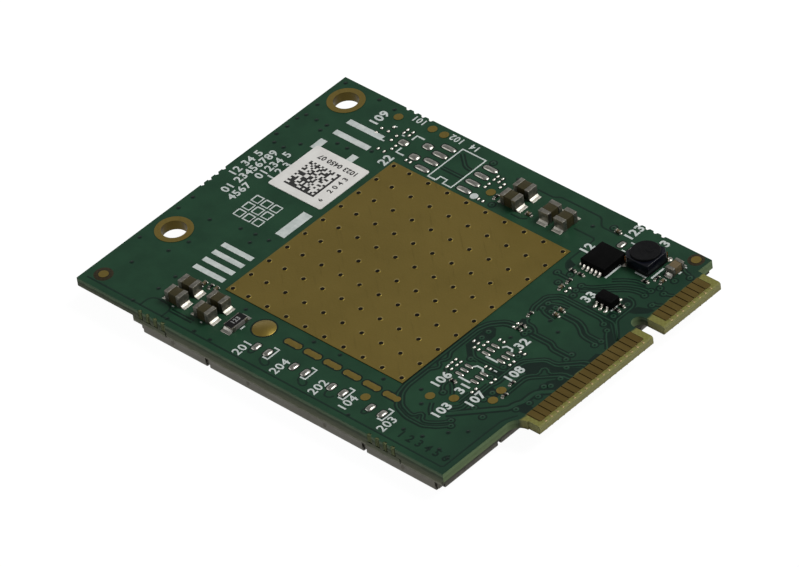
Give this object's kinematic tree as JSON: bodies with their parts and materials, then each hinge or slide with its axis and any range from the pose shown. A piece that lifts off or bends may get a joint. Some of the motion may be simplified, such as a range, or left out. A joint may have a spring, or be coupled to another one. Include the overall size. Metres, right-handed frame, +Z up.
{
  "type": "mini pcie radio card",
  "caption": "Small plug-in radio card: stepped board with edge contacts, bare gold heat pad and surface parts above, shielded radio module below.",
  "frame": {"origin": "under the middle of the board, at the height of the shield cover's flat underside", "axes": "+X towards the contact tongue, +Y towards the long edge by the narrow tongue part, +Z up through the board"},
  "size_m": [0.0508, 0.0376, 0.0047],
  "materials": {
    "board_mask": "green solder mask over glass-fibre board, satin",
    "gold_plate": "thin gold plating over copper, soft sheen",
    "paper": "white paper label, matt",
    "solder": "reflowed tin solder, bright and slightly uneven",
    "tinned_end": "matt tinned ends of chip parts",
    "dark_ceramic": "olive brown capacitor ceramic, satin",
    "tan_ceramic": "light brown capacitor ceramic, satin",
    "black_resistor": "black glazed resistor body",
    "black_epoxy": "black moulded chip package, fine matt grain",
    "ferrite": "black ferrite with glossy resin",
    "connector_plastic": "heat-proof connector plastic",
    "inductor_plastic": "black base plate",
    "copper_wire": "enamelled copper winding",
    "module_fibre": "glass-fibre module board, cut edges bare",
    "shield_sheet": "nickel silver sheet, dull",
    "filter_lid": "metal-lidded filter and oscillator cans",
    "gap_pad": "soft grey thermal pad"
  },
  "bodies": {
    "root": {"main_board": "board_mask", "heat_pad": "gold_plate", "edge_contacts_upper": "gold_plate", "edge_contacts_lower": "gold_plate", "hole_plating_far": "gold_plate", "hole_plating_near": "gold_plate", "test_pads": "gold_plate", "alignment_marks": "gold_plate", "antenna_shells": "gold_plate", "antenna_pins": "gold_plate", "antenna_tabs": "gold_plate", "paper_label": "paper", "chip_footprint": "solder", "diode_footprint": "solder", "lamp_footprints": "solder", "transistor_footprints": "solder", "jumper_footprint": "solder", "small_bare_pads": "solder", "capacitor_solder": "solder", "resistor_solder": "solder", "input_capacitor_solder": "solder", "regulator_toes": "solder", "module_joints": "solder", "capacitor_ends": "tinned_end", "resistor_ends": "tinned_end", "input_capacitor_ends": "tinned_end", "small_part_ends": "tinned_end", "transistor_leads": "tinned_end", "inductor_clips": "tinned_end", "capacitor_bodies": "dark_ceramic", "module_capacitors": "dark_ceramic", "input_capacitor_body": "tan_ceramic", "small_capacitor_bodies": "tan_ceramic", "resistor_body": "black_resistor", "small_resistor_bodies": "black_resistor", "regulator_body": "black_epoxy", "transistor_body": "black_epoxy", "processor": "black_epoxy", "memory_package": "black_epoxy", "radio_transceiver": "black_epoxy", "power_manager": "black_epoxy", "power_amplifiers": "black_epoxy", "antenna_switches": "black_epoxy", "inductor_ring": "ferrite", "inductor_core": "ferrite", "power_inductors": "ferrite", "antenna_bases": "connector_plastic", "inductor_base": "inductor_plastic", "inductor_winding": "copper_wire", "module_board": "module_fibre", "shield_cover": "shield_sheet", "shield_frame": "shield_sheet", "band_filters": "filter_lid", "reference_oscillator": "filter_lid", "processor_thermal_pad": "gap_pad"}
  },
  "joints": []
}
